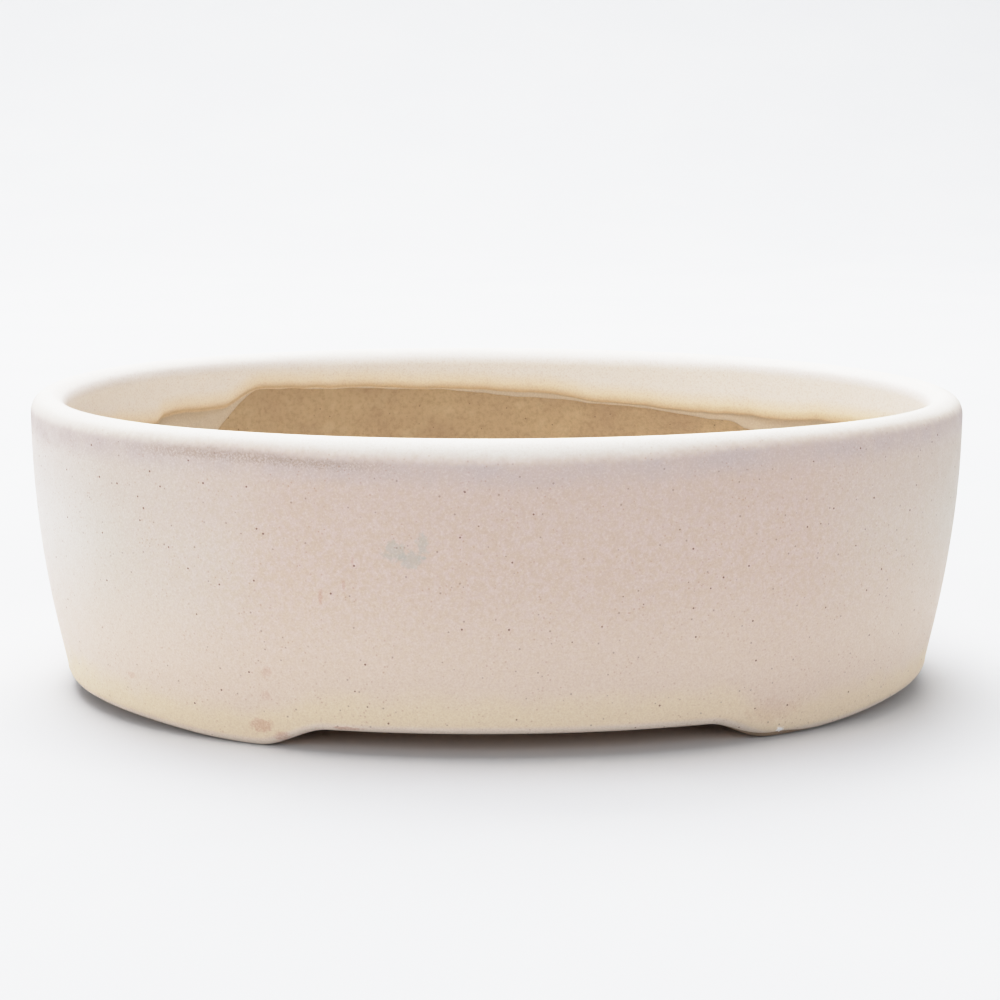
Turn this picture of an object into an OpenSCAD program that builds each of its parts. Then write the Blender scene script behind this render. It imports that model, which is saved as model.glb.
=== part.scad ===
// Low oval pot for a small tree: one fired clay body under a skin of glaze,
// with a mesh screen and a wire clip over each drain hole.
// Origin at the centre of the foot plane, X along the long axis, Z up.

/* [Outline] */
// Overall length along X
pot_len = 150; // [130:1:180]
// Distance between an end arc's centre and a side arc's: more makes a slimmer oval
centre_gap = 33.75; // [30:1.25:37.5]

/* [Wall] */
// Overall height
pot_h = 47.8; // [40:0.2:60]
// Thickness of the wall with its glaze
wall = 5.6; // [4.6:0.2:7]
// Radius of the curve in which the wall turns upright, seen in section
wall_curve_r = 140; // [120:5:180]
// Height at which that curve starts, above the straight flare
curve_low = 22; // [16:1:30]
// Radius of the rounding between wall and foot
foot_round = 2.5; // [2:0.5:4]
// Thickness of the glaze
glaze_t = 0.6; // [0.4:0.1:1]
// Depth of the glazed band inside the rim
glaze_in = 6; // [4:0.5:12]
// Height of the glaze's lower edge above the foot plane
glaze_low = 1; // [0.8:0.1:1.6]

/* [Floor and feet] */
// Thickness of the floor
floor_t = 6; // [4:0.5:8]
// Height of the floor's underside above the foot plane
floor_gap = 4; // [3.8:0.1:6]
// Radius of the cove between wall and floor
cove_r = 5; // [3:0.5:8]
// Width of the foot ring
foot_w = 9; // [7:0.5:11]
// Height of the arch between the feet of a long side
arch_h = 3.4; // [2:0.1:3.6]
// Length of that arch at half its height
arch_len = 67; // [50:1:74]
// Radius of the arch's upper corners
arch_r = 6.8; // [4:0.2:9]
// Height of the shallow arch at each end
end_arch_h = 1.4; // [0.8:0.1:2]
// Width of the shallow end arch
end_arch_w = 84; // [70:1:86]

/* [Holes] */
// Diameter of the drain holes
drain_d = 13; // [12:0.5:16]
// Distance between the drain holes
drain_gap = 56; // [48:1:62]
// Diameter of the tie wire holes
tie_d = 3.5; // [2.5:0.5:5]
// Distance between the tie wire holes along X
tie_x = 84; // [80:1:86]
// Distance between the tie wire holes along Y
tie_y = 44; // [36:1:48]

/* [Screens and clips] */
// Cells along each side of a screen
cells = 8; // [6:2:8]
// Pitch of the screen's cells
cell = 3; // [2.8:0.1:3.2]
// Width of the screen's strands
strand = 1; // [0.8:0.1:1]
// Thickness of the screen
screen_t = 1.2; // [0.8:0.1:1.5]
// Diameter of the clip's wire
wire_d = 1.2; // [1:0.1:1.4]
// Distance from a clip's centre to the far side of its loop
loop_x = 10.5; // [9.5:0.1:11]
// Half the width of a clip's loop
loop_y = 3.6; // [3.4:0.1:4]
// Distance from a clip's centre to the end of its bent leg
leg_end = 13; // [10:0.5:15]

/* [Hidden] */
$fn = 180;
eps = 0.01;
big = 200;

// The outline is four tangent arcs: an end arc about [end_cx, 0] and a side arc
// about [0, -side_cy], which meet on the line through both centres. That line is
// the long side of a 336, 527, 625 right triangle, so every centre and every
// corner of the wedges that end on it is a short exact decimal.
join = [336, 527] / 625;
end_cx = centre_gap * join.x;
side_cy = centre_gap * join.y;
end_r = pot_len / 2 - end_cx;
side_r = end_r + centre_gap;
pot_w = 2 * (side_r - side_cy);

// The wall's section is a straight flare, a curve that starts on it and ends
// upright at the rim's centre height, and the round rim.
rim_r = wall / 2;
rim_z = pot_h - rim_r;
flare_a = asin((rim_z - curve_low) / wall_curve_r);
curve_inset = wall_curve_r * (1 - cos(flare_a));
function wall_inset(z) = z > curve_low
    ? wall_curve_r - sqrt(pow(wall_curve_r, 2) - pow(rim_z - z, 2))
    : curve_inset + (curve_low - z) * tan(flare_a);

// The foot rounding touches both the flare and the foot plane.
round_inset = wall_inset(foot_round) + foot_round / cos(flare_a);
round_top = foot_round * (1 - sin(flare_a));

// Floor levels, and the inset at which the floor slab overlaps the wall's section.
floor_top = floor_gap + floor_t;
foot_in = wall_inset(0) + foot_w;
cove_inset = wall_inset(floor_top + cove_r) + wall + cove_r;
lap_in = cove_inset + 6;
slab_inset = cove_inset + 3;

// Levels of the screens and of the two flat parts of a clip.
clip_gap = 0.05;
clip_top_z = floor_top + screen_t + wire_d / 2 + clip_gap;
clip_low_z = floor_gap - wire_d / 2 - clip_gap;
leg = [cell * 1.5, cell * 0.5];
bend_r = wire_d;
loop_r = 2.5;
bend_steps = 7;
wire_sides = 10;

// ---- sections, drawn at the outline radius r -----------------------------

// Half plane above height z
module above(z) {
    translate([0, z]) square([big, big]);
}

// Everything on the inner side of the wall's face, moved inwards by an inset
module inside_of_wall(r, inset) {
    translate([r - wall_curve_r, rim_z]) {
        circle(wall_curve_r - inset);
        rotate(-flare_a) translate([0, -big]) square([wall_curve_r - inset, big]);
    }
}

// Wall and rim between two insets, from the foot plane to the rim
module wall_section(r, skin) {
    intersection() {
        difference() {
            inside_of_wall(r, skin);
            inside_of_wall(r, wall - skin);
        }
        square([big, rim_z]);
    }
    translate([r - rim_r, rim_z]) circle(rim_r - skin);
}

// Foot, cove and the outer strip of the floor
module foot_section(r) {
    difference() {
        intersection() {
            inside_of_wall(r, 0);
            translate([r - lap_in, 0]) square([lap_in, floor_top + cove_r]);
        }
        translate([r - cove_inset, floor_top + cove_r]) circle(cove_r);
        translate([r - lap_in - eps, floor_top])
            square([lap_in - cove_inset + eps, cove_r + eps]);
        translate([r - lap_in - eps, -eps])
            square([lap_in - foot_in + eps, floor_gap + eps]);
    }
}

// Mask that rounds the outer corner of the foot
module round_mask(r) {
    above(round_top);
    square([r - round_inset, big]);
    translate([r - round_inset, foot_round]) circle(foot_round);
}

// Wall, foot and glaze as one section
module whole_section(r) {
    intersection() {
        union() {
            wall_section(r, 0);
            foot_section(r);
        }
        round_mask(r);
    }
}

// Skin of glaze over the wall's outside, the rim and the band inside it
module glaze_section(r) {
    difference() {
        intersection() {
            wall_section(r, 0);
            round_mask(r);
            union() {
                above(pot_h - glaze_in);
                difference() {
                    above(glaze_low);
                    inside_of_wall(r, rim_r);
                }
            }
        }
        wall_section(r, glaze_t);
    }
}

module clay_section(r) {
    difference() {
        whole_section(r);
        glaze_section(r);
    }
}

// ---- sweeps ---------------------------------------------------------------

// Triangular prism from the Z axis to two corners
module wedge(a, b) {
    translate([0, 0, -1]) linear_extrude(height = pot_h + 2) polygon([[0, 0], a, b]);
}

// Child 0 swept along both end arcs, child 1 along both side arcs
module along_outline() {
    reach = 250 * join;
    for (s = [-1, 1]) {
        translate([s * end_cx, 0, 0]) intersection() {
            rotate_extrude() children(0);
            wedge([s * reach.x, -reach.y], [s * reach.x, reach.y]);
        }
        translate([0, -s * side_cy, 0]) intersection() {
            rotate_extrude() children(1);
            wedge([-reach.x, s * reach.y], [reach.x, s * reach.y]);
        }
    }
}

// The outline as a flat shape, inset by a distance
module outline(inset) {
    for (s = [-1, 1]) translate([s * end_cx, 0]) circle(end_r - inset);
    intersection() {
        translate([0, -side_cy]) circle(side_r - inset);
        translate([0, side_cy]) circle(side_r - inset);
        square([2 * (end_cx + (end_r - inset) * join.x), big], center = true);
    }
}

// Cut that leaves a foot at each end of both long sides
module side_arch() {
    corner_x = arch_len / 2 - sqrt(pow(arch_r, 2) - pow(arch_r - arch_h / 2, 2));
    rotate([90, 0, 0]) linear_extrude(height = pot_w, center = true) {
        translate([-corner_x, -1]) square([2 * corner_x, arch_h + 1]);
        intersection() {
            for (s = [-1, 1]) translate([s * corner_x, arch_h - arch_r]) circle(arch_r);
            translate([-big / 2, -1]) square([big, big]);
        }
    }
}

// Long shallow cut under both ends
module end_arch() {
    arc_r = (pow(end_arch_w / 2, 2) + pow(end_arch_h, 2)) / (2 * end_arch_h);
    rotate([90, 0, 90]) linear_extrude(height = pot_len + 2, center = true)
        intersection() {
            translate([0, end_arch_h - arc_r]) circle(arc_r);
            translate([-end_arch_w, -1]) square([2 * end_arch_w, 1 + 2 * end_arch_h]);
        }
}

module foot_cuts() {
    side_arch();
    end_arch();
}

// Straight hole through the floor
module floor_hole(d) {
    translate([0, 0, floor_gap - 1]) cylinder(h = floor_t + 2, d = d);
}

// ---- pieces ---------------------------------------------------------------

module clay_body() {
    color("#a98a68") difference() {
        union() {
            along_outline() {
                clay_section(end_r);
                clay_section(side_r);
            }
            translate([0, 0, floor_gap]) linear_extrude(height = floor_t)
                outline(slab_inset);
        }
        foot_cuts();
        for (s = [-1, 1]) {
            translate([s * drain_gap / 2, 0, 0]) floor_hole(drain_d);
            for (t = [-1, 1])
                translate([s * tie_x / 2, t * tie_y / 2, 0]) floor_hole(tie_d);
        }
    }
}

module glaze_coat() {
    color("#e3cfbd") difference() {
        along_outline() {
            glaze_section(end_r);
            glaze_section(side_r);
        }
        foot_cuts();
    }
}

module drain_screen() {
    size = cells * cell;
    color("#26282a") translate([0, 0, floor_top]) linear_extrude(height = screen_t)
        difference() {
            square(size, center = true);
            for (i = [0:cells - 1], j = [0:cells - 1])
                translate([(i + 0.5) * cell - size / 2, (j + 0.5) * cell - size / 2])
                    square(cell - strand, center = true);
        }
}

function unit(v) = v / norm(v);

// Points of an arc of radius r that rounds the corner b of the path a-b-c
function corner(a, b, c, r) =
    let (u = unit(a - b), v = unit(c - b), half = acos(u * v) / 2,
         start = b + u * r / tan(half), centre = b + unit(u + v) * r / sin(half),
         e1 = unit(start - centre), e2 = -u, sweep = 180 - 2 * half)
    [for (i = [0:bend_steps]) let (t = sweep * i / bend_steps)
        centre + r * (e1 * cos(t) + e2 * sin(t))];

// Wire path: corners p, each rounded by its radius in r, open at both ends
function wire_path(p, r) = [
    p[0],
    for (i = [1:len(p) - 2]) each corner(p[i - 1], p[i], p[i + 1], r[i]),
    p[len(p) - 1]
];

// Round wire of diameter d along a path, as one closed skin
module wire(path, d) {
    n = len(path);
    tangents = [for (i = [0:n - 1]) unit(path[min(i + 1, n - 1)] - path[max(i - 1, 0)])];
    normals = [for (i = 0, v = [0, 1, 0]; i < n;
                    i = i + 1, v = unit(v - (v * tangents[min(i, n - 1)])
                                            * tangents[min(i, n - 1)])) v];
    rings = [for (i = [0:n - 1], k = [0:wire_sides - 1])
        let (a = 360 * k / wire_sides, side = cross(tangents[i], normals[i]))
        path[i] + d / 2 * (normals[i] * cos(a) + side * sin(a))];
    skin = [for (i = [0:n - 2], k = [0:wire_sides - 1])
        let (m = (k + 1) % wire_sides, a = i * wire_sides)
        [a + k, a + m, a + wire_sides + m, a + wire_sides + k]];
    start_cap = [for (k = [wire_sides - 1:-1:0]) k];
    end_cap = [for (k = [0:wire_sides - 1]) (n - 1) * wire_sides + k];
    polyhedron(rings, concat(skin, [start_cap, end_cap]));
}

// Half of a clip from the end of one leg to its loop; the other half is this
// one turned half round
function half_clip() = [
    [-leg_end, -leg.y, clip_low_z],
    [-leg.x, -leg.y, clip_low_z],
    [-leg.x, -leg.y, clip_top_z],
    [-loop_x, -loop_y, clip_top_z],
    [-loop_x, loop_y, clip_top_z]
];

module screen_clip() {
    half = half_clip();
    other = [for (i = [len(half) - 1:-1:0]) [-half[i].x, -half[i].y, half[i].z]];
    radii = [0, bend_r, bend_r, loop_r, loop_r];
    radii_back = [for (i = [len(radii) - 1:-1:0]) radii[i]];
    color("#b9bcc0") wire(wire_path(concat(half, other), concat(radii, radii_back)), wire_d);
}

module drain_screen_left() { translate([-drain_gap / 2, 0, 0]) drain_screen(); }
module drain_screen_right() { translate([drain_gap / 2, 0, 0]) drain_screen(); }
module screen_clip_left() { translate([-drain_gap / 2, 0, 0]) screen_clip(); }
module screen_clip_right() { translate([drain_gap / 2, 0, 0]) screen_clip(); }

clay_body();
glaze_coat();
drain_screen_left();
drain_screen_right();
screen_clip_left();
screen_clip_right();
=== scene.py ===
import math

import bmesh
import bpy
import numpy as np
from mathutils import Matrix, Vector, noise
from mathutils.geometry import delaunay_2d_cdt


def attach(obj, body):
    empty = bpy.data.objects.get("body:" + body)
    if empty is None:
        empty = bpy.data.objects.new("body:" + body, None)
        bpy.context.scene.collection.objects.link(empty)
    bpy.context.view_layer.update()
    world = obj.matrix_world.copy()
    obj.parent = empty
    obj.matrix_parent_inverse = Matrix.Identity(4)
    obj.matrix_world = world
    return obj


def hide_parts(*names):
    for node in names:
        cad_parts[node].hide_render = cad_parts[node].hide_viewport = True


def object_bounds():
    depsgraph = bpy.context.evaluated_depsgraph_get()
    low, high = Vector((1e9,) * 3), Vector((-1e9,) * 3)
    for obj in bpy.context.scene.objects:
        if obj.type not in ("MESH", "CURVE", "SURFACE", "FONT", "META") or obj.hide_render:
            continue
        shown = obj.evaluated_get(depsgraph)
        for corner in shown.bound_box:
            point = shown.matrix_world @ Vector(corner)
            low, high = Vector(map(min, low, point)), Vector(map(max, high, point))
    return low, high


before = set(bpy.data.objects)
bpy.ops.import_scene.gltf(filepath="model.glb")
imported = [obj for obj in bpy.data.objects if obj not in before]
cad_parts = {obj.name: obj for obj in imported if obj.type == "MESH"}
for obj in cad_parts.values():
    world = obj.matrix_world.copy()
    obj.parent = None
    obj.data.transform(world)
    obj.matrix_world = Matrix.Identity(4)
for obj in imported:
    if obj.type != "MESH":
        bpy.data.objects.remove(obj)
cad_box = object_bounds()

# Lengths below are in millimetres, as in the CAD model, and become metres in add_mesh().
MM = 0.001

# ---------------------------------------------------------------------------
# Outline: four tangent arcs, from the CAD box and the triangle that joins them
# ---------------------------------------------------------------------------
HALF_LEN = (cad_box[1].x - cad_box[0].x) / MM / 2
CENTRE_GAP = 33.75        # from the centre of an end arc to the centre of a side arc
JOIN_X, JOIN_Y = 336 / 625, 527 / 625      # direction in which the two arcs meet
END_CX, SIDE_CY = CENTRE_GAP * JOIN_X, CENTRE_GAP * JOIN_Y
END_R = HALF_LEN - END_CX
SIDE_R = END_R + CENTRE_GAP
JOIN_A = math.atan2(JOIN_Y, JOIN_X)
COLUMNS = 480             # columns of points round the pot
WALL_STEPS = 40           # rows up the outer face

# Wall, rim, floor and feet
TOP = cad_box[1].z / MM
RIM_SAG = 0.45            # the fired rim waves below the highest point by about this much
HEIGHT = TOP - RIM_SAG
WALL = 5.6
RIM_R = WALL / 2
RIM_Z = HEIGHT - RIM_R
CURVE_R = 160.0           # radius of the outer face in section
CURVE_LOW = 10.0          # height below which the outer face runs straight
FLARE = math.asin((RIM_Z - CURVE_LOW) / CURVE_R)
GLAZE = 0.6               # thickness of the coat
FLOOR_TOP, FLOOR_LOW = 10.0, 4.0
COVE_R = 5.0              # rounding between the floor and the wall, inside
FOOT_IN = 14.6            # inset of the foot ring's inner face
FOOT_SLOPE = 2.6          # width of the slope from the sole up to the underside
RING_END = 20.0           # inset at which the swept ring meets the flat floor
# Arch between the feet of a long side: height at the middle, share by which it sags towards
# its edges, half length, length of the run-out, and offset along X
ARCH_H, ARCH_SAG = 3.5, 0.08
ARCH_EDGE, ARCH_EASE, ARCH_MID = 34.0, 10.6, -0.3
# Lift of the foot line towards both ends: where it starts, its length and its height
END_EDGE, END_EASE, END_H = 39.5, 25.7, 1.4

# Holes, screens and clips
DRAIN_X, DRAIN_R = 28.0, 6.5
TIE_X, TIE_Y, TIE_R = 42.0, 22.0, 1.75
CELL, CELLS, STRAND, SCREEN_T = 3.0, 8, 1.0, 1.2      # pitch, cells a side, bar width, thickness
WIRE_D = 1.2
FLOOR_GAP = 0.02          # keeps the paper clear of the foot soles


def smooth_step(t):
    t = np.clip(t, 0.0, 1.0)
    return t * t * (3.0 - 2.0 * t)


def outline(psi, inset):
    """Point of the outline whose normal has the angle psi, moved inwards by inset."""
    fold = np.abs((psi + np.pi) % (2 * np.pi) - np.pi)
    quarter = np.where(fold > np.pi / 2, np.pi - fold, fold)
    on_end = quarter < JOIN_A
    x = np.where(on_end, END_CX + (END_R - inset) * np.cos(quarter),
                 (SIDE_R - inset) * np.cos(quarter))
    y = np.where(on_end, (END_R - inset) * np.sin(quarter),
                 (SIDE_R - inset) * np.sin(quarter) - SIDE_CY)
    return x * np.sign(np.cos(psi)), y * np.sign(np.sin(psi))


def even_columns(count):
    """Normal angles of points spaced evenly along the outline."""
    end_len, side_len = END_R * JOIN_A, SIDE_R * (np.pi / 2 - JOIN_A)
    s = (np.arange(count // 4) + 0.5) / (count // 4) * (end_len + side_len)
    quarter = np.where(s < end_len, s / END_R, JOIN_A + (s - end_len) / SIDE_R)
    return np.concatenate([quarter, np.pi - quarter[::-1], np.pi + quarter,
                           2 * np.pi - quarter[::-1]])


def wall_inset(z):
    """Inset of the outer face at height z: upright at the rim, curved, then a straight flare."""
    curve = CURVE_R - np.sqrt(CURVE_R ** 2 - (RIM_Z - z) ** 2)
    flare = CURVE_R * (1 - math.cos(FLARE)) + (CURVE_LOW - z) * math.tan(FLARE)
    return np.where(z >= CURVE_LOW, curve, flare)


PSI = even_columns(COLUMNS)
FOOT_MIDDLE = 5.0         # inset at which the shape of the foot line is measured
FOOT_X = np.abs(outline(PSI, FOOT_MIDDLE)[0] - ARCH_MID)
FOOT_Z = (ARCH_H * (1 - ARCH_SAG * (FOOT_X / ARCH_EDGE) ** 2)
          * (1 - smooth_step((FOOT_X - ARCH_EDGE) / ARCH_EASE + 0.5))
          + END_H * smooth_step((FOOT_X - END_EDGE) / END_EASE))


def ring_noise(psi, size, seed):
    """Smooth noise round the pot, with features of about size mm along the outline."""
    x, y = outline(psi, 0.0)
    return np.array([noise.noise(Vector((a / size, b / size, seed))) for a, b in zip(x, y)])


def bumps(psi, spots):
    """Sum of smooth bumps round the pot: each spot is (angle in degrees, width, height)."""
    total = np.zeros_like(psi)
    for centre, width, height in spots:
        off = (np.degrees(psi) - centre + 180) % 360 - 180
        total += height * np.exp(-(off / width) ** 2)
    return total


def levels(psi, points):
    """Level round the pot through (angle in degrees, level) points, eased between them."""
    angles = np.array([p[0] for p in points] + [points[0][0] + 360.0])
    values = np.array([p[1] for p in points] + [points[0][1]])
    deg = (np.degrees(psi) - angles[0]) % 360 + angles[0]
    i = np.clip(np.searchsorted(angles, deg, side="right") - 1, 0, len(angles) - 2)
    t = (deg - angles[i]) / (angles[i + 1] - angles[i])
    return values[i] + (values[i + 1] - values[i]) * smooth_step(t)


# ---------------------------------------------------------------------------
# The fired shape: gentle waves in the rim, and where the glaze ends
# ---------------------------------------------------------------------------
WAVE_LOW = 15.0           # the waves fade out at this height
# Two high and two low places round the rim, and a slight tilt
RIM_WAVE = -(0.20 * np.sin(2 * PSI) + 0.08 * np.cos(2 * PSI)
             + 0.25 * np.cos(PSI) + 0.11 * np.sin(PSI))

# Angle round the foot rounding at which the outer glaze stops: 90 is the sole
FOOT_EDGE = 78 + 5 * ring_noise(PSI, 9.0, 1.7) + bumps(PSI, [(298, 4.2, -34)])

# Lower edge of the thick glaze inside the wall, and of the thin wash below it
GLAZE_EDGE = levels(PSI, [(0, 37.6), (20, 37.9), (35, 37.5), (48, 36.9), (62, 37.1), (73, 38.0),
                          (84, 39.7), (95, 40.3), (105, 40.9), (112, 41.2), (117.3, 41.45),
                          (122.6, 38.55), (133, 38.6), (136.5, 38.3), (139, 37.0), (160, 37.9),
                          (200, 38.6), (235, 37.4), (270, 38.4), (300, 37.2), (330, 38.3)])
WASH_EDGE = levels(PSI, [(0, 35.0), (25, 33.6), (50, 32.4), (55.5, 34.6), (59, 35.9), (73, 37.5),
                         (83, 38.6), (95, 40.0), (106, 40.6), (117, 41.2), (124.6, 34.2),
                         (128, 32.0), (160, 33.4), (200, 34.8), (235, 35.0), (270, 36.6),
                         (300, 34.6), (330, 35.6)])
GLAZE_EDGE = GLAZE_EDGE + 0.22 * ring_noise(PSI, 3.4, 5.1) + 0.15 * ring_noise(PSI, 8.0, 2.9)
WASH_EDGE = np.minimum(WASH_EDGE + 0.20 * ring_noise(PSI, 2.8, 8.3), GLAZE_EDGE - 0.12)

# Radius of the rounding along the foot: fuller at both ends and at the worn right foot
FOOT_ROUND = levels(PSI, [(0, 3.4), (90, 2.2), (180, 3.0), (222, 2.7), (244, 1.9), (278, 2.0),
                          (289, 2.5), (294, 3.2), (304, 2.5), (335, 3.7)])

# How much nearer the crest the white of the rim stops, outside, than at its widest
CREST_TRIM = levels(PSI, [(0, 1.6), (90, 1.2), (200, 1.35), (240, 1.4), (256, 0.45), (268, 0.0),
                          (278, 0.3), (292, 1.3), (310, 1.85), (340, 1.8)])


def foot_row(angle, skin):
    """Row of the foot rounding: angle 0 is at the wall and 90 degrees at the sole."""
    a = np.radians(angle)
    r = FOOT_ROUND - skin * np.cos(a) ** 2
    centre = wall_inset(FOOT_Z + FOOT_ROUND) + FOOT_ROUND
    return centre - r * np.cos(a), FOOT_Z + FOOT_ROUND - r * np.sin(a)


def wall_row(share, skin):
    """Row of the outer face, from the foot rounding (0) up to the rim (1)."""
    z = (FOOT_Z + FOOT_ROUND) * (1 - share) + RIM_Z * share
    return wall_inset(z) + skin, z


def rim_row(angle, skin):
    """Row of the rim: angle 0 is outside, 90 degrees the crest, 180 inside."""
    a = math.radians(angle)
    r = RIM_R - skin
    return RIM_R - r * math.cos(a) + 0 * PSI, RIM_Z + r * math.sin(a) + 0 * PSI


def inner_row(z, skin):
    """Row of the inner face at height z."""
    return wall_inset(z) + WALL - skin, z + 0 * PSI


# ---------------------------------------------------------------------------
# Mesh helpers
# ---------------------------------------------------------------------------
WOBBLE, WOBBLE_SIZE = 0.10, 24.0
WOBBLE_IN = 0.6           # share by which the wobble is moved inwards, to stay in the CAD box
WELD = 1e-7               # metres


def hand_made(points):
    """Moves points a little in and out, as a pressed and fettled wall does."""
    out = np.array(points, float).reshape(-1, 3)
    for p in out:
        shift = WOBBLE * (noise.noise(Vector(p) / WOBBLE_SIZE) - WOBBLE_IN)
        p[:2] *= 1 + shift / HALF_LEN
    return out


def ring_points(rows):
    """Grid of points, rows by columns, from (inset, height) rows; the rim's wave grows upwards."""
    grid = []
    for inset, z in rows:
        x, y = outline(PSI, inset)
        share = np.clip((z - WAVE_LOW) / (HEIGHT - WAVE_LOW), 0, 1)
        grid.append(np.stack([x, y, z + RIM_WAVE * share], axis=-1))
    return np.array(grid)


def grid_faces(rows, columns, close_rows=False):
    """Quads over a grid whose columns always close into a ring."""
    faces = []
    for i in range(rows if close_rows else rows - 1):
        a, b = i * columns, (i + 1) % rows * columns
        for j in range(columns):
            k = (j + 1) % columns
            faces.append((a + j, a + k, b + k, b + j))
    return faces


class Parts:
    """Collects patches of vertices, faces and values per vertex for one mesh."""

    def __init__(self):
        self.points, self.faces, self.values, self.count = [], [], {}, 0

    def add(self, points, faces, **values):
        points = np.asarray(points, float).reshape(-1, 3)
        self.points.append(points)
        self.faces += [tuple(self.count + i for i in f) for f in faces]
        for name in sorted(set(self.values) | set(values)):
            column = self.values.setdefault(name, [np.zeros(self.count)] if self.count else [])
            column.append(np.broadcast_to(values.get(name, 0.0), len(points)).astype(float))
        self.count += len(points)


def add_mesh(name, parts, material, node):
    """Makes the object in metres, welds its patches, and ties it to the frame."""
    mesh = bpy.data.meshes.new(name)
    points = np.concatenate(parts.points) * MM
    mesh.from_pydata([tuple(p) for p in points], [], parts.faces)
    for key, columns in parts.values.items():
        attribute = mesh.attributes.new(key, "FLOAT", "POINT")
        attribute.data.foreach_set("value", np.concatenate(columns).astype(np.float32))
    obj = bpy.data.objects.new(name, mesh)
    bpy.context.scene.collection.objects.link(obj)
    bm = bmesh.new()
    bm.from_mesh(mesh)
    bmesh.ops.remove_doubles(bm, verts=bm.verts, dist=WELD)
    bmesh.ops.recalc_face_normals(bm, faces=bm.faces)
    bm.to_mesh(mesh)
    bm.free()
    mesh.polygons.foreach_set("use_smooth", [True] * len(mesh.polygons))
    mesh.materials.append(material)
    mesh.update()
    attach(obj, "root")
    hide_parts(node)


# ---------------------------------------------------------------------------
# Clay body
# ---------------------------------------------------------------------------
def clay_rows():
    """Section of the clay from the floor's top, over the rim, to the floor's underside."""
    rows = []
    cove_in = wall_inset(FLOOR_TOP + COVE_R) + WALL - GLAZE + COVE_R
    for t in np.linspace(0, 1, 7)[:-1]:
        rows.append((RING_END * (1 - t) + cove_in * t + 0 * PSI, FLOOR_TOP + 0 * PSI))
    for a in np.radians(np.linspace(0, 90, 9)):
        rows.append((cove_in - COVE_R * np.sin(a) + 0 * PSI,
                     FLOOR_TOP + COVE_R * (1 - np.cos(a)) + 0 * PSI))
    for z in np.linspace(FLOOR_TOP + COVE_R, RIM_Z, 50)[1:-1]:
        rows.append(inner_row(z, GLAZE))
    rows += [rim_row(a, GLAZE) for a in np.linspace(180, 0, 15)]
    rows += [wall_row(t, GLAZE) for t in np.linspace(1, 0, WALL_STEPS + 1)[1:]]
    rows += [foot_row(a, GLAZE) for a in np.linspace(0, 90, 12)[1:]]
    sole = rows[-1][0]
    slope_in = FOOT_IN + 0.4 * FOOT_SLOPE
    for t in np.linspace(0, 1, 6)[1:]:
        rows.append((sole * (1 - t) + (slope_in - FOOT_SLOPE) * t, FOOT_Z))
    for t in np.linspace(0, 1, 9)[1:]:
        rise = (FLOOR_LOW - FOOT_Z) * float(smooth_step(t))
        rows.append((slope_in - FOOT_SLOPE * (1 - t) + 0 * PSI, FOOT_Z + rise))
    for t in np.linspace(0, 1, 6)[1:]:
        rows.append((slope_in * (1 - t) + RING_END * t + 0 * PSI, FLOOR_LOW + 0 * PSI))
    return rows


# Holes through the floor: centre x, centre y, radius, rounding of the edges
HOLES = [(s * DRAIN_X, 0.0, DRAIN_R, 1.0) for s in (-1, 1)]
HOLES += [(s * TIE_X, t * TIE_Y, TIE_R, 0.5) for s in (-1, 1) for t in (-1, 1)]
HOLE_SIDES = 48

# Inner points of the flat floor: spacing, range along X and Y, and clear distance to its edges
FLOOR_STEP, FLOOR_ROW = 2.0, 0.87
FLOOR_X, FLOOR_Y = 60, 50
HOLE_CLEAR, EDGE_CLEAR = 0.8, 1.0
HOLE_TEST = 0.998         # a face nearer a hole's centre than this share of its radius is dropped


def circle(cx, cy, r):
    a = np.arange(HOLE_SIDES) * 2 * np.pi / HOLE_SIDES
    return np.stack([cx + r * np.cos(a), cy + r * np.sin(a)], axis=-1)


def floor_patch(z):
    """Flat floor inside the swept ring, with its holes, at height z."""
    x, y = outline(PSI, RING_END)
    loops = [np.stack([x, y], axis=-1)] + [circle(cx, cy, r + f) for cx, cy, r, f in HOLES]
    inner = []
    for i, row in enumerate(np.arange(-FLOOR_Y, FLOOR_Y, FLOOR_STEP * FLOOR_ROW)):
        for col in np.arange(-FLOOR_X, FLOOR_X, FLOOR_STEP) + (i % 2) * FLOOR_STEP / 2:
            away = math.hypot(max(abs(col) - END_CX, 0.0), row)
            clear = all(math.hypot(col - cx, row - cy) > r + f + HOLE_CLEAR
                        for cx, cy, r, f in HOLES)
            if away < END_R - RING_END - EDGE_CLEAR and clear:
                inner.append((col, row))
    points, edges = [], []
    for loop in loops:
        start = len(points)
        points += [tuple(p) for p in loop]
        edges += [(start + k, start + (k + 1) % len(loop)) for k in range(len(loop))]
    points += inner
    flat, _, faces, *_ = delaunay_2d_cdt([Vector(p) for p in points], edges, [], 0, 1e-6)
    kept = []
    for face in faces:
        c = sum((flat[i] for i in face), Vector((0, 0))) / len(face)
        if all(math.hypot(c.x - cx, c.y - cy) > (r + f) * HOLE_TEST for cx, cy, r, f in HOLES):
            kept.append(tuple(face))
    return np.array([(p.x, p.y, z) for p in flat]), kept


def hole_rows(cx, cy, r, fillet):
    """Wall of a hole through the floor, with both its edges rounded."""
    rows = []
    for a in np.radians(np.linspace(0, 90, 6)):
        rows.append((r + fillet * (1 - math.sin(a)), FLOOR_TOP - fillet * (1 - math.cos(a))))
    for a in np.radians(np.linspace(90, 0, 6)):
        rows.append((r + fillet * (1 - math.sin(a)), FLOOR_LOW + fillet * (1 - math.cos(a))))
    grid = []
    for radius, z in rows:
        ring = circle(cx, cy, radius)
        grid.append(np.column_stack([ring, np.full(HOLE_SIDES, z)]))
    return np.array(grid)


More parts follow.
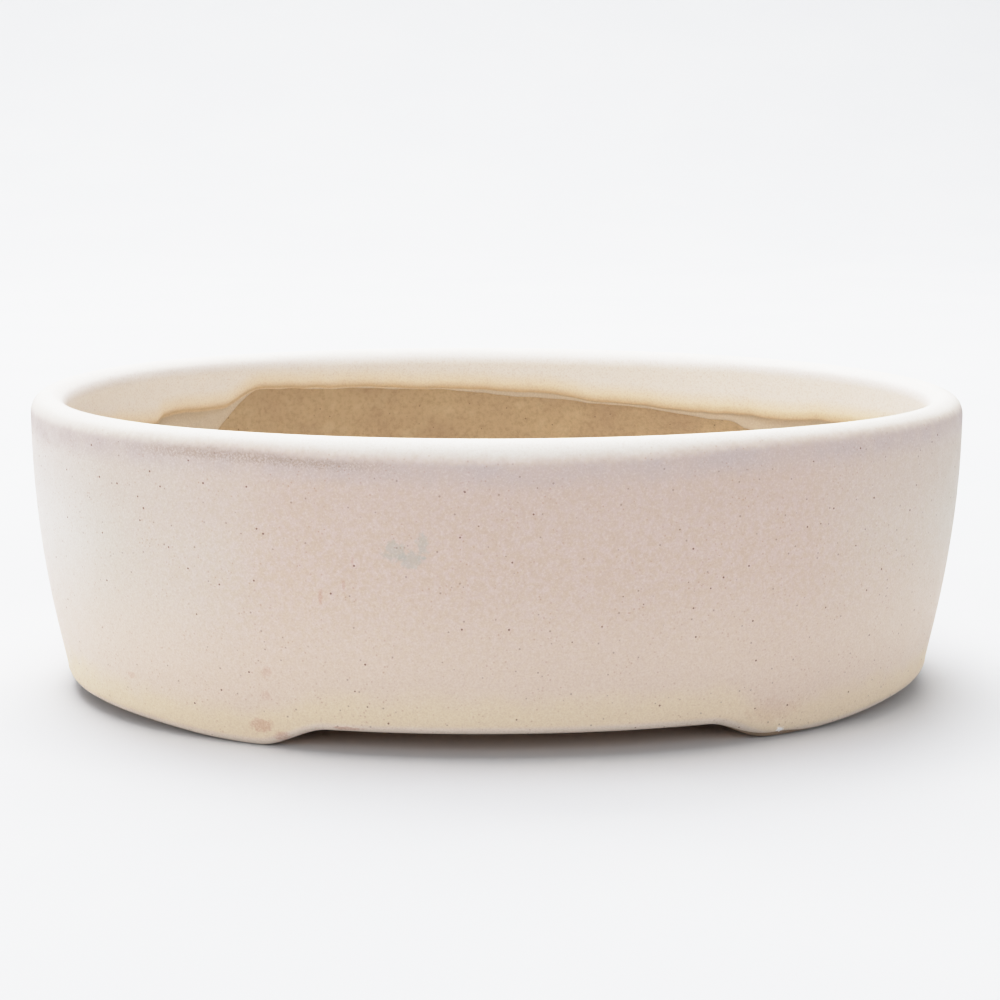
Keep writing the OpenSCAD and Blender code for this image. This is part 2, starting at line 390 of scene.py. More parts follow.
def make_clay(material):
    parts = Parts()
    section = clay_rows()
    ring = ring_points(section)
    low = ring[..., 2] - FOOT_Z
    inset = np.array([np.broadcast_to(inset, COLUMNS) for inset, _ in section])
    parts.add(hand_made(ring), grid_faces(*ring.shape[:2]), low=low.ravel(), inset=inset.ravel())
    for z in (FLOOR_TOP, FLOOR_LOW):
        points, faces = floor_patch(z)
        parts.add(hand_made(points), faces, low=8.0, inset=RING_END)
    for hole in HOLES:
        grid = hole_rows(*hole)
        parts.add(hand_made(grid), grid_faces(grid.shape[0], HOLE_SIDES), low=8.0, inset=RING_END)
    add_mesh("fired_clay", parts, material, "clay_body")


# ---------------------------------------------------------------------------
# Glaze coat: a closed skin on the clay, with a thick edge and a thin wash below it
# ---------------------------------------------------------------------------
EMBED = 0.03              # how far the coat's hidden face is sunk into the clay
CREST_TO_SIDE = RIM_R * math.pi / 2

# Thickness of the coat: along the foot by share of the rounding, in the lip that ends the thick
# glaze inside by height above its edge, and in the thin wash by share of the way down
FOOT_LIP = ((0, 0.02), (0.03, 0.22), (0.08, 0.40), (0.2, 0.55), (0.4, 0.6), (0.6, 0.6),
            (0.8, 0.6), (1, 0.6))
LIP_TOP = 1.2
INNER_LIP = ((0.9, 0.59), (0.65, 0.57), (0.45, 0.53), (0.3, 0.47), (0.15, 0.37), (0.04, 0.25),
             (-0.02, 0.14))
WASH = ((0.3, 0.12), (0.6, 0.12), (0.85, 0.11), (0.97, 0.07), (1, 0.01))
TRIM_EASE = 2.5           # way outside the crest over which the trim of the white sets in
FAR_ABOVE_EDGE, FAR_ABOVE_FOOT = 30.0, 40.0     # values where the real distance has no meaning


def glaze_rows():
    """(row as a function of skin, glaze thickness, way from the crest, 1 inside) along the coat."""
    rows = []
    for share, thick in FOOT_LIP:
        angle = FOOT_EDGE * (1 - share)
        rows.append((lambda skin, a=angle: foot_row(a, skin), thick, -CREST_TO_SIDE - RIM_Z, 0))
    for t in np.linspace(0, 1, WALL_STEPS + 1)[1:]:
        way = -CREST_TO_SIDE - RIM_Z * (1 - t)
        rows.append((lambda skin, t=t: wall_row(t, skin), GLAZE, way, 0))
    for a in np.linspace(0, 180, 29)[1:]:
        way = math.radians(a - 90) * RIM_R
        rows.append((lambda skin, a=a: rim_row(a, skin), GLAZE, way, float(a > 90)))
    inner = [(RIM_Z * (1 - t) + (GLAZE_EDGE + LIP_TOP) * t, GLAZE)
             for t in np.linspace(0, 1, 14)[1:]]
    inner += [(GLAZE_EDGE + up, thick) for up, thick in INNER_LIP]
    wash_top = GLAZE_EDGE + INNER_LIP[-1][0]
    inner += [(wash_top * (1 - t) + WASH_EDGE * t, thick) for t, thick in WASH]
    for z, thick in inner:
        rows.append((lambda skin, z=z: inner_row(z, skin), thick, CREST_TO_SIDE + RIM_Z - z, 1))
    return rows


def make_glaze(material):
    rows = glaze_rows()
    outer = ring_points([row(GLAZE - thick) for row, thick, _, _ in rows])
    under = ring_points([row(GLAZE + EMBED) for row, _, _, _ in rows])
    shape = outer.shape[:2]
    inside = np.array([np.full(COLUMNS, side) for _, _, _, side in rows])
    values = {
        "crest": np.array([way - CREST_TRIM * np.clip(-way / TRIM_EASE, 0, 1)
                           for _, _, way, _ in rows]),
        "inside": inside,
        "edge": np.where(inside > 0.5, outer[..., 2] - GLAZE_EDGE, FAR_ABOVE_EDGE),
        "low": np.where(inside > 0.5, FAR_ABOVE_FOOT, outer[..., 2] - FOOT_Z),
    }
    both = {k: np.concatenate([v, v[::-1]]).ravel() for k, v in values.items()}
    grid = np.concatenate([outer, under[::-1]])
    parts = Parts()
    parts.add(hand_made(grid), grid_faces(2 * shape[0], COLUMNS, close_rows=True), **both)
    add_mesh("glaze_skin", parts, material, "glaze_coat")


# ---------------------------------------------------------------------------
# Drain screens and their wire clips
# ---------------------------------------------------------------------------
LOOP_POINTS = 16          # points of a cell's loop, four on each side
CELL_POWER = 9            # exponent of the superellipse: the cells have slightly rounded corners
CELL_EASE = 0.16          # rounding of the bars


def cell_loop(half, power):
    """Points of a square loop of that half width: a high power keeps its corners sharp."""
    side = np.array([-1, -0.5, 0, 0.5])
    square = np.concatenate([np.stack([side, -1 + 0 * side], -1), np.stack([1 + 0 * side, side], -1),
                             np.stack([-side, 1 + 0 * side], -1), np.stack([-1 + 0 * side, -side], -1)])
    if power is None:
        return square * half
    size = (np.abs(square) ** power).sum(-1, keepdims=True) ** (1 / power)
    return square / size * half


def make_screen(name, cx, material, node):
    """Moulded mesh: each cell is a square of strand round a soft-cornered opening."""
    parts = Parts()
    low, high = FLOOR_TOP, FLOOR_TOP + SCREEN_T
    half, hole, ease = CELL / 2, (CELL - STRAND) / 2, CELL_EASE
    section = [(hole + ease, high), (hole + ease / 3, high - ease / 3), (hole, high - ease),
               (hole, low + ease), (hole + ease / 3, low + ease / 3), (hole + ease, low)]
    loops = [(half, None, high)] + [(h, CELL_POWER, z) for h, z in section] + [(half, None, low)]
    for i in range(CELLS):
        for j in range(CELLS):
            at = np.array([cx + (i + 0.5 - CELLS / 2) * CELL, (j + 0.5 - CELLS / 2) * CELL])
            grid = np.array([np.column_stack([cell_loop(h, p) + at, np.full(LOOP_POINTS, z)])
                             for h, p, z in loops])
            parts.add(grid, grid_faces(len(loops), LOOP_POINTS))
            rim = np.array([grid[0], grid[-1]])
            for side, on_edge in enumerate((j == 0, i == CELLS - 1, j == CELLS - 1, i == 0)):
                if on_edge:
                    k = [(side * 4 + n) % LOOP_POINTS for n in range(5)]
                    faces = [(n, n + 1, n + 6, n + 5) for n in range(4)]
                    parts.add(np.concatenate([rim[0][k], rim[1][k]]), faces)
    add_mesh(name, parts, material, node)


# Clip: half length of the ends under the floor, of the legs' spacing and of the loops, half
# widths at the legs and at the loops, radii of the bends, and the gap to the screen and floor
CLIP_END, CLIP_LEG, CLIP_LOOP = 13.0, 4.5, 10.5
LEG_SIDE, LOOP_SIDE = 1.5, 3.6
LEG_BEND, LOOP_BEND = WIRE_D, 2.5
CLIP_GAP = 0.05
WIRE_SIDES, BEND_STEPS = 20, 12
WIRE_TIP = ((0.0, 0.45), (0.08, 0.8), (0.2, 1.0))     # way along the wire, share of its radius


def rounded_path(corners, radii, steps):
    """Smooth path through corners, each rounded by an arc of its radius."""
    path = [np.array(corners[0], float)]
    for a, b, c, r in zip(corners, corners[1:], corners[2:], radii):
        a, b, c = (np.array(p, float) for p in (a, b, c))
        u, v = (a - b) / np.linalg.norm(a - b), (c - b) / np.linalg.norm(c - b)
        half = math.acos(float(u @ v)) / 2
        start = b + u * r / math.tan(half)
        centre = b + (u + v) / np.linalg.norm(u + v) * r / math.sin(half)
        e1, sweep = (start - centre) / r, math.pi - 2 * half
        path += [centre + r * (e1 * math.cos(t) - u * math.sin(t))
                 for t in np.linspace(0, sweep, steps)]
    return path + [np.array(corners[-1], float)]


def make_clip(name, cx, material, node):
    """Round wire: two loops on top of the screen, two legs through it and out under the floor."""
    top = FLOOR_TOP + SCREEN_T + WIRE_D / 2 + CLIP_GAP
    low = FLOOR_LOW - WIRE_D / 2 - CLIP_GAP
    half = [(-CLIP_END, -LEG_SIDE, low), (-CLIP_LEG, -LEG_SIDE, low), (-CLIP_LEG, -LEG_SIDE, top),
            (-CLIP_LOOP, -LOOP_SIDE, top), (-CLIP_LOOP, LOOP_SIDE, top)]
    corners = half + [(-x, -y, z) for x, y, z in reversed(half)]
    radii = [LEG_BEND] * 2 + [LOOP_BEND] * 4 + [LEG_BEND] * 2
    path = np.array(rounded_path(corners, radii, BEND_STEPS))
    tangent = np.gradient(path, axis=0)
    tangent /= np.linalg.norm(tangent, axis=1, keepdims=True)
    normal = np.array([0.0, 1.0, 0.0])
    rings = []
    spine = [(path[0] + tangent[0] * d, tangent[0], k) for d, k in WIRE_TIP]
    spine += [(p, t, 1.0) for p, t in zip(path[1:-1], tangent[1:-1])]
    spine += [(path[-1] - tangent[-1] * d, tangent[-1], k) for d, k in reversed(WIRE_TIP)]
    angles = np.arange(WIRE_SIDES) * 2 * np.pi / WIRE_SIDES
    across, along = np.cos(angles)[:, None], np.sin(angles)[:, None]
    for p, t, k in spine:
        normal = normal - (normal @ t) * t
        normal /= np.linalg.norm(normal)
        side = np.cross(t, normal)
        rings.append(p + k * WIRE_D / 2 * (across * normal + along * side))
    grid = np.array(rings) + np.array([cx, 0, 0])
    parts = Parts()
    n = len(grid)
    caps = [tuple(range(WIRE_SIDES))[::-1],
            tuple((n - 1) * WIRE_SIDES + k for k in range(WIRE_SIDES))]
    parts.add(grid, grid_faces(n, WIRE_SIDES) + caps)
    add_mesh(name, parts, material, node)


# ---------------------------------------------------------------------------
# Materials
# ---------------------------------------------------------------------------
def srgb(r, g, b):
    """Linear colour from 0-255 screen values."""
    return [v / 255 / 12.92 if v <= 10 else ((v / 255 + 0.055) / 1.055) ** 2.4
            for v in (r, g, b)] + [1.0]


# Glaze of the outside wall: grains, ends (the left one with painted light), lower and upper part
# (partly painted bounce light and shade), bands (partly painted shade under the rim) and the line at
# the foot (a painted reflection)
TAN_GRAIN, LILAC_GRAIN = srgb(201, 179, 161), srgb(207, 187, 179)
PALE_END, LEFT_END_PAINTED_LIGHT = srgb(207, 199, 188), srgb(230, 223, 217)
LOWER_WALL_AND_BOUNCE_LIGHT, UPPER_WALL_AND_SHADE = srgb(222, 203, 187), srgb(188, 170, 162)
LILAC_BAND_AND_SHADE, LINE_AND_SHADE_UNDER_RIM = srgb(189, 176, 173), srgb(168, 150, 136)
CREAM_BAND, FOOT_PAINTED_REFLECTION = srgb(226, 208, 178), srgb(222, 209, 199)
BROWN_FLECK, PALE_FLECK = srgb(174, 148, 131), srgb(232, 223, 217)

# Glaze of the rim and inside: crest, band, cream, tan edge, wash and the grey line
CREST, INNER_BAND, INNER_CREAM = srgb(231, 226, 219), srgb(246, 242, 238), srgb(245, 232, 213)
TAN_EDGE, WASH_TAN, GREY_LINE = srgb(229, 212, 183), srgb(210, 198, 178), srgb(208, 202, 200)

# Marks, a painted highlight and iron specks
SMUDGE, STAIN, PAINTED_GLINT = srgb(158, 170, 163), srgb(176, 98, 68), srgb(247, 247, 247)
MICRO_SPECK, FAINT_SPECK, IRON_SPECK = srgb(163, 111, 75), srgb(115, 82, 64), srgb(112, 66, 40)

# Bare clay, its underside and its foot edge
CLAY_BROWN, CLAY_TAN = srgb(187, 161, 129), srgb(199, 175, 139)
CLAY_GRAIN, CLAY_PALE, CLAY_SPECK = srgb(148, 123, 93), srgb(210, 192, 158), srgb(93, 64, 45)
UNDERSIDE, FOOT_CLAY = srgb(232, 166, 108), srgb(138, 121, 104)

# Screen, its dust, the wire and the paper
BLACK_PLASTIC, DUST = srgb(30, 31, 33), srgb(96, 90, 82)
WIRE_DARK, WIRE_LIGHT = srgb(196, 198, 201), srgb(222, 223, 225)
PAPER_DARK, PAPER_LIGHT = srgb(218, 220, 224), srgb(221, 223, 226)

# Marks on the front wall: x, z, half width and half height, and a stain's strength
SMUDGE_SPOTS = ((-18.8, 31.4, 1.9, 1.7), (-16.4, 30.4, 2, 1.3), (-14.9, 32.2, 0.9, 2))
STAIN_SPOTS = ((-38.1, 3.5, 2.0, 1.2, 0.36), (-35.0, 2.0, 1.6, 0.8, 0.36),
               (-37.4, 8.2, 0.8, 1.0, 0.15), (-37.2, 12.2, 0.7, 1.2, 0.17),
               (-25.6, 4.0, 2.4, 0.35, 0.45), (-57.8, 8.3, 0.7, 0.6, 0.2),
               (-26.1, 26.0, 0.3, 1.0, 0.2), (-24.8, 29.8, 0.25, 1.1, 0.2),
               (-29.4, 24.2, 0.3, 1.5, 0.25), (38.0, 4.8, 4.5, 2.2, 0.1))
SMUDGE_SHARE = 0.36
# Painted highlight: a white spot on the right foot, where a glossy drip catches the light
GLINT_X, GLINT_SIZE = 39.3, (0.6, 0.5)
MIDDLE_X = 3.0            # middle of the pinkish part of the wall
LINE_LEFT = 38.0          # the line below the rim is clearest this far left of the middle


class Surface:
    """A node material, with short names for the nodes it is built from."""

    def __init__(self, name, roughness, **shader):
        self.material = bpy.data.materials.new(name)
        self.material.use_nodes = True
        self.tree = self.material.node_tree
        self.shader = self.tree.nodes["Principled BSDF"]
        self.shader.inputs["Roughness"].default_value = roughness
        for key, value in shader.items():
            self.shader.inputs[key.replace("_", " ")].default_value = value
        self.place = self.node("ShaderNodeTexCoord").outputs["Object"]

    def node(self, kind, **settings):
        made = self.tree.nodes.new(kind)
        for key, value in settings.items():
            setattr(made, key, value)
        return made

    def put(self, socket, value):
        if isinstance(value, bpy.types.NodeSocket):
            self.tree.links.new(value, socket)
        else:
            socket.default_value = value

    def attribute(self, name):
        return self.node("ShaderNodeAttribute", attribute_name=name).outputs["Fac"]

    def math(self, operation, a, b=0.0):
        made = self.node("ShaderNodeMath", operation=operation)
        self.put(made.inputs[0], a)
        self.put(made.inputs[1], b)
        return made.outputs[0]

    def noise(self, size, detail=2.0, roughness=0.5, stretch=None):
        """Noise from 0 to 1 with features of size mm, stretched along each axis if asked."""
        made = self.node("ShaderNodeTexNoise")
        made.inputs["Scale"].default_value = 1 / (size * MM)
        made.inputs["Detail"].default_value = detail
        made.inputs["Roughness"].default_value = roughness
        place = self.place
        if stretch:
            scaled = self.node("ShaderNodeMapping")
            scaled.inputs["Scale"].default_value = stretch
            self.put(scaled.inputs["Vector"], place)
            place = scaled.outputs["Vector"]
        self.put(made.inputs["Vector"], place)
        return made.outputs["Fac"]

    def cells(self, size):
        """(distance from the nearest cell point in mm, a random value for each cell)."""
        made = self.node("ShaderNodeTexVoronoi")
        made.inputs["Scale"].default_value = 1 / (size * MM)
        self.put(made.inputs["Vector"], self.place)
        split = self.node("ShaderNodeSeparateColor")
        self.put(split.inputs[0], made.outputs["Color"])
        return self.math("MULTIPLY", made.outputs["Distance"], size), split.outputs[0]

    def ramp(self, value, low, high, out_low=0.0, out_high=1.0):
        """Eases from out_low to out_high as value goes from low to high."""
        made = self.node("ShaderNodeMapRange", interpolation_type="SMOOTHSTEP")
        for socket, v in zip(made.inputs, (value, low, high, out_low, out_high)):
            self.put(socket, v)
        return made.outputs[0]

    def mix(self, share, a, b):
        made = self.node("ShaderNodeMix", data_type="RGBA")
        self.put(made.inputs["Factor"], share)
        self.put(made.inputs[6], a)
        self.put(made.inputs[7], b)
        return made.outputs[2]

    def bump(self, height, distance, below=None):
        """Bump of distance mm for a height of 1, on top of another bump."""
        made = self.node("ShaderNodeBump")
        made.inputs["Distance"].default_value = distance * MM
        self.put(made.inputs["Height"], height)
        if below is not None:
            self.put(made.inputs["Normal"], below)
        return made.outputs["Normal"]

    def axis(self, name):
        split = self.node("ShaderNodeSeparateXYZ")
        self.put(split.inputs[0], self.place)
        return self.math("DIVIDE", split.outputs[name], MM)

    def spot(self, x, z, half_x, half_z, soften=0.0):
        """1 inside a soft ellipse on the front wall at x, z in mm, and 0 outside or at the back."""
        dx = self.math("DIVIDE", self.math("SUBTRACT", self.axis("X"), x), half_x)
        dz = self.math("DIVIDE", self.math("SUBTRACT", self.axis("Z"), z), half_z)
        away = self.math("SQRT", self.math("ADD", self.math("MULTIPLY", dx, dx),
                                           self.math("MULTIPLY", dz, dz)))
        if soften:
            away = self.math("ADD", away, self.math("MULTIPLY", self.math(
                "SUBTRACT", self.noise(soften, 3), 0.5), 2.0))
        front = self.ramp(self.axis("Y"), -20, 0, 1, 0)
        return self.math("MULTIPLY", self.ramp(away, 0.5, 1.1, 1, 0), front)

    def scaled(self, value, by):
        return self.math("MULTIPLY", value, by)

    def finish(self, colour, roughness=None, normal=None):
        self.put(self.shader.inputs["Base Color"], colour)
        if roughness is not None:
            self.put(self.shader.inputs["Roughness"], roughness)
        if normal is not None:
            self.put(self.shader.inputs["Normal"], normal)
        return self.material


def iron_specks(s, size, radius, share):
    """Small dark specks: about share of the cells of that size get one."""
    distance, chance = s.cells(size)
    dot = s.ramp(distance, radius * 0.5, radius, 1, 0)
    return s.math("MULTIPLY", dot, s.math("LESS_THAN", chance, share))


def glaze_material():
    """Matte glaze, coloured by distances in mm that the mesh carries.

    low is the height above the foot line, crest the way along the section from the top of the
    rim (negative outside), and edge the height above the glaze's inner edge.
    """
    s = Surface("matte_glaze", 0.5, IOR=1.5)
    low, crest, edge = s.attribute("low"), s.attribute("crest"), s.attribute("edge")
    inside = s.attribute("inside")
    cloud, blotch = s.noise(28, 3), s.noise(5, 3)
    grain, fine = s.noise(1.1, 3, 0.65), s.noise(0.3, 3, 0.7)
    along = s.math("ABSOLUTE", s.math("SUBTRACT", s.axis("X"), MIDDLE_X))
    wander = s.math("ADD", along, s.scaled(s.math("SUBTRACT", cloud, 0.5), 26))

    # Pinkish beige with tan and lilac grains on the long sides, paler towards both ends, and the left
    # end lighter still with painted light from the left
    colour = s.mix(s.ramp(s.noise(0.9, 4, 0.75), 0.36, 0.64), TAN_GRAIN, LILAC_GRAIN)
    colour = s.mix(s.ramp(wander, 36, 74), colour, PALE_END)
    # Painted light: the left end is made lighter, as if lit more from the left
    colour = s.mix(s.ramp(s.axis("X"), -58, -75, 0.0, 0.85), colour, LEFT_END_PAINTED_LIGHT)
    # Lighter low on the wall and darker at the top: partly the glaze's own creamier foot and greyer
    # top, partly painted light bounced off the paper below and painted shade above
    colour = s.mix(s.ramp(crest, -46, -20, 0.8, 0.0), colour, LOWER_WALL_AND_BOUNCE_LIGHT)
    colour = s.mix(s.ramp(crest, -24, -8, 0.0, 0.3), colour, UPPER_WALL_AND_SHADE)

    # Lilac-grey band and darker line below the rim, partly the thin glaze's colour and partly painted
    # shade under the rim's roll, and the cream band above the foot
    ragged = s.math("ADD", crest, s.scaled(s.math("SUBTRACT", grain, 0.5), 1.4))
    ragged = s.math("ADD", ragged, s.scaled(s.math("SUBTRACT", fine, 0.5), 1.6))
    band = s.math("MULTIPLY", s.ramp(ragged, -10.5, -6.2), s.ramp(ragged, -4.2, -5.6))
    band = s.math("MULTIPLY", band, s.ramp(blotch, 0.35, 0.65, 0.5, 0.9))
    colour = s.mix(band, colour, LILAC_BAND_AND_SHADE)
    # Darker line under the rim, clearest at the left: partly glaze, partly painted shade under the
    # rim's roll
    left = s.ramp(s.math("ABSOLUTE", s.math("ADD", s.axis("X"), LINE_LEFT)), 23.0, 8.0)
    thin = s.math("MULTIPLY", s.ramp(ragged, -7.4, -6.1), s.ramp(ragged, -4.7, -5.7))
    thin = s.math("MULTIPLY", s.math("MULTIPLY", thin, left), s.ramp(fine, 0.35, 0.6, 0.25, 0.8))
    colour = s.mix(thin, colour, LINE_AND_SHADE_UNDER_RIM)
    low_edge = s.math("ADD", low, s.scaled(s.math("SUBTRACT", blotch, 0.5), 4.0))
    colour = s.mix(s.scaled(s.ramp(low_edge, 8.0, 3.0), 0.7), colour, CREAM_BAND)
    # Painted reflection: a paler line on the bottom of the foot rounding, where the paper is reflected
    colour = s.mix(s.scaled(s.ramp(low, 1.7, 0.9), 0.7), colour, FOOT_PAINTED_REFLECTION)

    # White, grainy crest of the rim, and the tan edge of the band inside it
    colour = s.mix(s.ramp(ragged, -5.8, -2.6), colour, CREST)
    cream = s.mix(s.ramp(edge, 4.0, 1.0), INNER_BAND, INNER_CREAM)
    cream = s.mix(s.ramp(edge, 1.7, 0.3), cream, TAN_EDGE)
    cream = s.mix(s.ramp(edge, 0.1, -0.3), cream, WASH_TAN)
    line = s.math("MULTIPLY", s.ramp(crest, 1.8, 3.0), s.ramp(crest, 4.8, 3.2))
    line = s.math("MULTIPLY", line, s.ramp(wander, 15, 55, 0.1, 0.5))
    cream = s.mix(line, cream, GREY_LINE)
    colour = s.mix(s.math("MULTIPLY", s.ramp(crest, 1.2, 3.0), inside), colour, cream)

    # Marks on the front: a grey-green smudge, red stains at the left foot, and a painted highlight at
    # the right foot
    for x, z, wide, high in SMUDGE_SPOTS:
        smudge = s.scaled(s.spot(x, z, wide, high, 0.8), SMUDGE_SHARE)
        colour = s.mix(smudge, colour, SMUDGE)
    for x, z, wide, high, share in STAIN_SPOTS:
        patch = s.math("MULTIPLY", s.spot(x, z, wide, high, 0.9), s.ramp(fine, 0.3, 0.6, 0.5, 1.0))
        colour = s.mix(s.scaled(patch, share), colour, STAIN)
    colour = s.mix(s.spot(GLINT_X, 1.5, *GLINT_SIZE, 0.5), colour, PAINTED_GLINT)

    # Grain, orange-brown micro specks and sparse iron specks
    colour = s.mix(s.ramp(fine, 0.42, 0.7, 0, 0.2), colour, BROWN_FLECK)
    colour = s.mix(s.ramp(fine, 0.5, 0.3, 0, 0.2), colour, PALE_FLECK)
    body = s.ramp(crest, -4.0, -6.5)
    patchy = s.ramp(blotch, 0.4, 0.62, 0.1, 0.34)
    micro = s.math("MULTIPLY", iron_specks(s, 0.8, 0.18, 0.8), patchy)
    micro = s.math("MULTIPLY", micro, s.ramp(crest, -3.4, -5.0, 0.4, 1))
    colour = s.mix(micro, colour, MICRO_SPECK)
    faint = s.scaled(iron_specks(s, 1.6, 0.2, 0.6), 0.45)
    colour = s.mix(s.math("MULTIPLY", faint, body), colour, FAINT_SPECK)
    specks = s.math("MULTIPLY", iron_specks(s, 2.6, 0.2, 0.8), body)
    colour = s.mix(s.scaled(specks, 0.85), colour, IRON_SPECK)

    rough = s.ramp(s.noise(2.2, 3), 0.3, 0.7, 0.5, 0.64)
    skin = s.bump(s.noise(9, 2), 0.22)
    skin = s.bump(grain, 0.05, skin)
    skin = s.bump(s.math("SUBTRACT", fine, specks), 0.02, skin)
    return s.finish(colour, rough, skin)


def clay_material():
    """Bare stoneware: brown with darker grains, smeared sideways, and grey along the foot."""
    s = Surface("fired_clay", 0.85, IOR=1.45)
    cloud, grain = s.noise(14, 4, 0.6), s.noise(0.8, 4, 0.7)
    colour = s.mix(s.ramp(cloud, 0.3, 0.7), CLAY_BROWN, CLAY_TAN)
    colour = s.mix(s.ramp(grain, 0.4, 0.75, 0, 0.4), colour, CLAY_GRAIN)
    colour = s.mix(s.ramp(s.noise(3.5, 2), 0.55, 0.75, 0, 0.3), colour, CLAY_PALE)
    colour = s.mix(s.scaled(iron_specks(s, 1.6, 0.16, 0.7), 0.6), colour, CLAY_SPECK)
    colour = s.mix(s.ramp(s.axis("Z"), 8.0, 6.0, 0.0, 0.6), colour, UNDERSIDE)
    foot = s.math("MULTIPLY", s.ramp(s.attribute("low"), 1.9, 1.4),
                  s.ramp(s.attribute("inset"), 9.6, 8.6))
    colour = s.mix(s.scaled(foot, 0.85), colour, FOOT_CLAY)
    # Painted highlight: the same white spot on the bare clay of the right foot
    colour = s.mix(s.spot(GLINT_X, 1.4, *GLINT_SIZE, 0.5), colour, PAINTED_GLINT)
    smear = s.bump(s.noise(6, 3, 0.5, (1, 1, 0.3)), 0.25)
    skin = s.bump(grain, 0.10, smear)
    skin = s.bump(s.noise(0.25, 2), 0.03, skin)
    rough = s.math("SUBTRACT", s.ramp(grain, 0.3, 0.7, 0.75, 0.95), s.scaled(foot, 0.4))
    return s.finish(colour, rough, skin)


def screen_material():
    s = Surface("screen_plastic", 0.5, IOR=1.49)
    dust = s.ramp(s.noise(1.5, 4, 0.7), 0.45, 0.8, 0, 0.3)
    colour = s.mix(dust, BLACK_PLASTIC, DUST)
    return s.finish(colour, s.ramp(s.noise(2, 2), 0.3, 0.7, 0.4, 0.62), s.bump(s.noise(0.5, 2), 0.02))


def wire_material():
    s = Surface("clip_wire", 0.34, Metallic=1.0)
    drawn = s.noise(0.5, 3, 0.6, (0.15, 1, 1))
    colour = s.mix(s.ramp(drawn, 0.3, 0.7), WIRE_DARK, WIRE_LIGHT)
    return s.finish(colour, s.ramp(drawn, 0.3, 0.7, 0.26, 0.44), s.bump(drawn, 0.01))


# ---------------------------------------------------------------------------
# Stage, light and camera
# ---------------------------------------------------------------------------
def paper_material():
    s = Surface("sweep_paper", 0.9)
    shade = s.ramp(s.noise(60, 2), 0.3, 0.7)
    return s.finish(s.mix(shade, PAPER_DARK, PAPER_LIGHT))


def make_stage():
    """Pale sweep: a floor that curves up into a backdrop, with no line between them."""
    half, front, back, bend, top = 9.0, -4.0, 0.8, 0.75, 2.6
    profile = [(front, 0.0), (back, 0.0)]
    profile += [(back + bend * math.sin(a), bend * (1 - math.cos(a)))
                for a in np.radians(np.linspace(0, 90, 25))[1:]]
    profile.append((back + bend, top))
    points = [(side * half, y, z - FLOOR_GAP * MM) for y, z in profile for side in (-1, 1)]
    faces = [(2 * i, 2 * i + 1, 2 * i + 3, 2 * i + 2) for i in range(len(profile) - 1)]
    mesh = bpy.data.meshes.new("sweep")
    mesh.from_pydata(points, [], faces)
    mesh.polygons.foreach_set("use_smooth", [True] * len(mesh.polygons))
    mesh.materials.append(paper_material())
    sweep = bpy.data.objects.new("sweep", mesh)
    bpy.context.scene.collection.objects.link(sweep)


# Response of the camera: the tone from which it eases off, the brightest value, and the last tone
EASE_FROM, EASE_TOP, TONE_MAX = 0.60, 0.97, 4.0
RESPONSE_STEPS = 24

# Soft lights: name, width, height (metres), power (watts) and place (metres)
LIGHTS = (("overhead", 1.0, 1.0, 16.4, (-0.1, 0.1, 1.2)),
          ("back", 1.2, 0.8, 13.5, (-0.1, 0.85, 0.95)),
          ("front", 2.4, 0.8, 12.8, (0.1, -1.6, 0.8)),
          ("left_strip", 3.2, 1.2, 32.0, (-2.6, -0.5, 0.66)),
          ("right_strip", 3.2, 1.2, 16.0, (2.6, -0.5, 0.66)))
LIT_POINT = Vector((0, 0, 0.03))
SKY_COLOUR, SKY_STRENGTH = (0.93, 0.96, 1.0, 1.0), 0.12

# Camera: turn about the pot, downward pitch and roll in degrees, lens and sensor, place
TURN, PITCH, ROLL = 3.99, 9.31, 0.14
LENS, SENSOR = 106.1, 36.0
CAMERA_PLACE = (-32.6, -473.0, 106.7)


def soft_box(name, width, height, power, place):
    """Rectangular soft light aimed at the pot."""
    data = bpy.data.lights.new(name, "AREA")
    data.shape, data.size, data.size_y, data.energy = "RECTANGLE", width, height, power
    lamp = bpy.data.objects.new(name, data)
    lamp.location = place
    lamp.rotation_euler = (LIT_POINT - Vector(place)).to_track_quat("-Z", "Y").to_euler()
    bpy.context.scene.collection.objects.link(lamp)


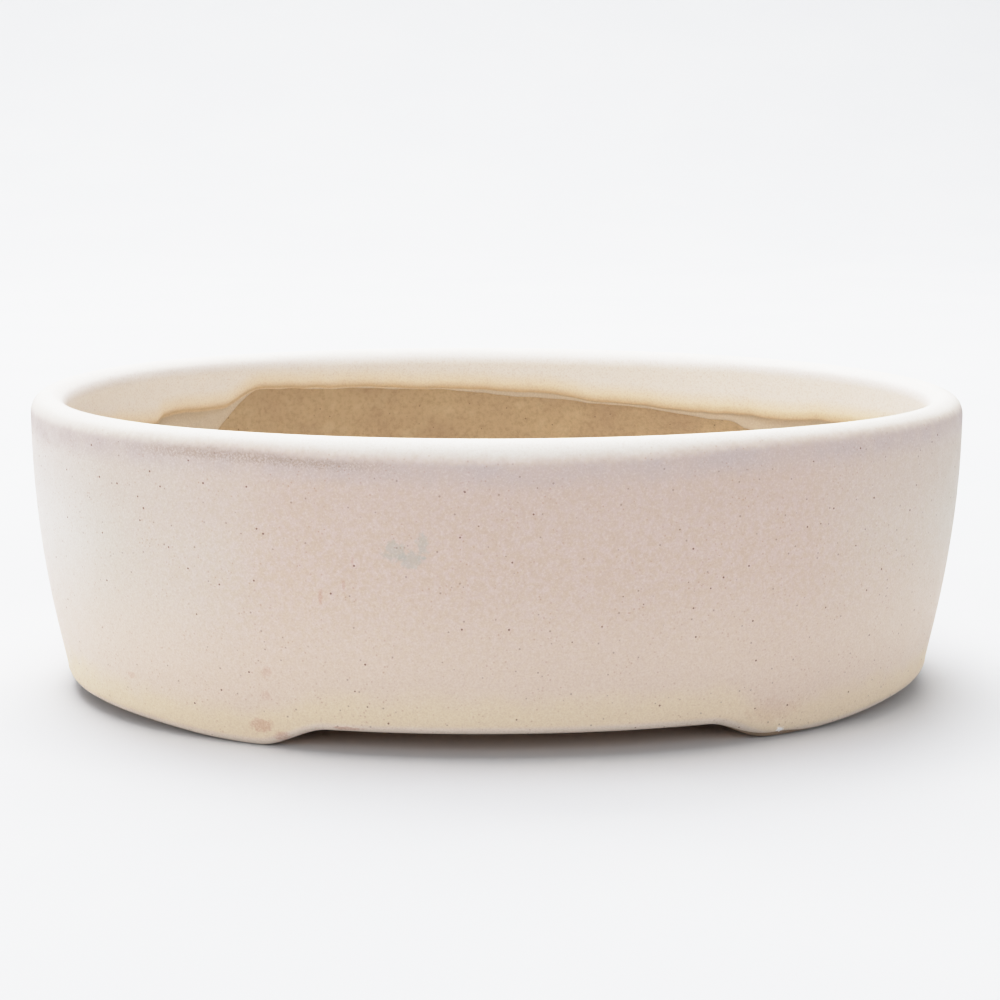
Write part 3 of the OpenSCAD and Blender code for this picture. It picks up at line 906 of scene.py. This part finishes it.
def shoulder(tone):
    """A camera's response: tones above EASE_FROM ease off towards EASE_TOP."""
    over = max(tone - EASE_FROM, 0.0) / (EASE_TOP - EASE_FROM)
    return min(tone, EASE_FROM) + (EASE_TOP - EASE_FROM) * (1 - math.exp(-over))


def set_response(view):
    """Gives the picture the shoulder of a camera, so pale paper keeps its faint shading."""
    view.view_transform = "Standard"
    view.look = "None"
    view.use_curve_mapping = True
    mapping = view.curve_mapping
    mapping.clip_max_x = TONE_MAX
    all_channels = mapping.curves[3]
    all_channels.points[-1].location = (TONE_MAX, shoulder(TONE_MAX))
    for tone in np.linspace(EASE_FROM / 2, TONE_MAX, RESPONSE_STEPS)[:-1]:
        all_channels.points.new(tone, shoulder(tone))
    mapping.update()


def make_light():
    """Soft lights above, behind and in front, a low strip at each end, and a dim surrounding."""
    scene = bpy.context.scene
    set_response(scene.view_settings)
    world = bpy.data.worlds.new("studio")
    world.use_nodes = True
    sky = world.node_tree.nodes["Background"]
    sky.inputs["Color"].default_value = SKY_COLOUR
    sky.inputs["Strength"].default_value = SKY_STRENGTH
    scene.world = world
    for light in LIGHTS:
        soft_box(*light)


def make_camera():
    """Long lens from a little above the rim, turned a few degrees off the long side."""
    data = bpy.data.cameras.new("camera")
    data.sensor_width, data.lens = SENSOR, LENS
    data.clip_start, data.clip_end = 0.05, 20.0
    camera = bpy.data.objects.new("camera", data)
    camera.location = Vector(CAMERA_PLACE) * MM
    level = Matrix.Rotation(math.radians(-TURN), 4, "Z")
    tilt = Matrix.Rotation(math.radians(90 - PITCH), 4, "X")
    twist = Matrix.Rotation(math.radians(ROLL), 4, "Z")
    camera.rotation_euler = (level @ tilt @ twist).to_euler()
    bpy.context.scene.collection.objects.link(camera)
    bpy.context.scene.camera = camera


make_clay(clay_material())
make_glaze(glaze_material())
plastic, wire = screen_material(), wire_material()
for name, cx in (("left", -DRAIN_X), ("right", DRAIN_X)):
    make_screen("mesh_screen_" + name, cx, plastic, "drain_screen_" + name)
    make_clip("wire_clip_" + name, cx, wire, "screen_clip_" + name)
make_stage()
make_light()
make_camera()
